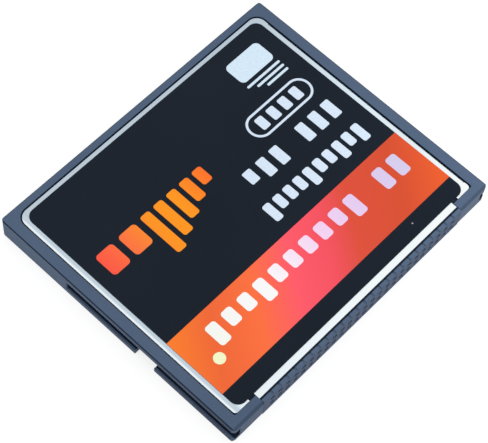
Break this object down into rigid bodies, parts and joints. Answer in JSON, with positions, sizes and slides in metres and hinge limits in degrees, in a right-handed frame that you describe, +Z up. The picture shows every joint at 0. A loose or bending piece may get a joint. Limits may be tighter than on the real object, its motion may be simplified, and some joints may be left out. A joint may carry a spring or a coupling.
{
  "type": "compact flash card",
  "caption": "Flat storage card: moulded frame with guide slots, stamped covers, printed label and a two-row socket along its front edge.",
  "frame": {"origin": "centre of the card's underside", "axes": "+X across the guide slots, with the narrow slot on +X; -Y is the socket face; +Z up, the label side"},
  "size_m": [0.0428, 0.0364, 0.0033],
  "materials": {
    "frame_plastic": "fine-grained moulded plastic",
    "steel": "satin stamped stainless sheet",
    "label_black": "glossy printed film",
    "band_ink": "glossy print with an iridescent sheen",
    "white_ink": "glossy print",
    "pale_ink": "glossy print",
    "orange_ink": "glossy print",
    "cream_ink": "glossy print",
    "socket_plastic": "moulded plastic",
    "gold": "gold-plated spring strip",
    "board": "solder mask over glass laminate",
    "chip_black": "moulded epoxy",
    "tin": "tin-plated strip",
    "can_metal": "plated can",
    "tank_yellow": "moulded epoxy",
    "capacitor_tan": "sintered ceramic"
  },
  "bodies": {
    "root": {"frame": "frame_plastic", "top_cover": "steel", "bottom_cover": "steel", "label": "label_black", "label_band": "band_ink", "label_headline": "white_ink", "label_lines": "white_ink", "label_tile": "pale_ink", "label_gauge": "orange_ink", "label_dot": "cream_ink", "connector_housing": "socket_plastic", "upper_contacts": "gold", "lower_contacts": "gold", "circuit_board": "board", "controller_chip": "chip_black", "controller_leads": "tin", "upper_flash_chip": "chip_black", "upper_flash_leads": "tin", "lower_flash_chips": "chip_black", "lower_flash_leads": "tin", "voltage_regulator": "chip_black", "regulator_leads": "tin", "oscillator": "can_metal", "tank_capacitor": "tank_yellow", "tank_terminals": "tin", "ceramic_capacitors": "capacitor_tan", "capacitor_ends": "tin", "resistors": "chip_black", "resistor_ends": "tin"}
  },
  "joints": []
}
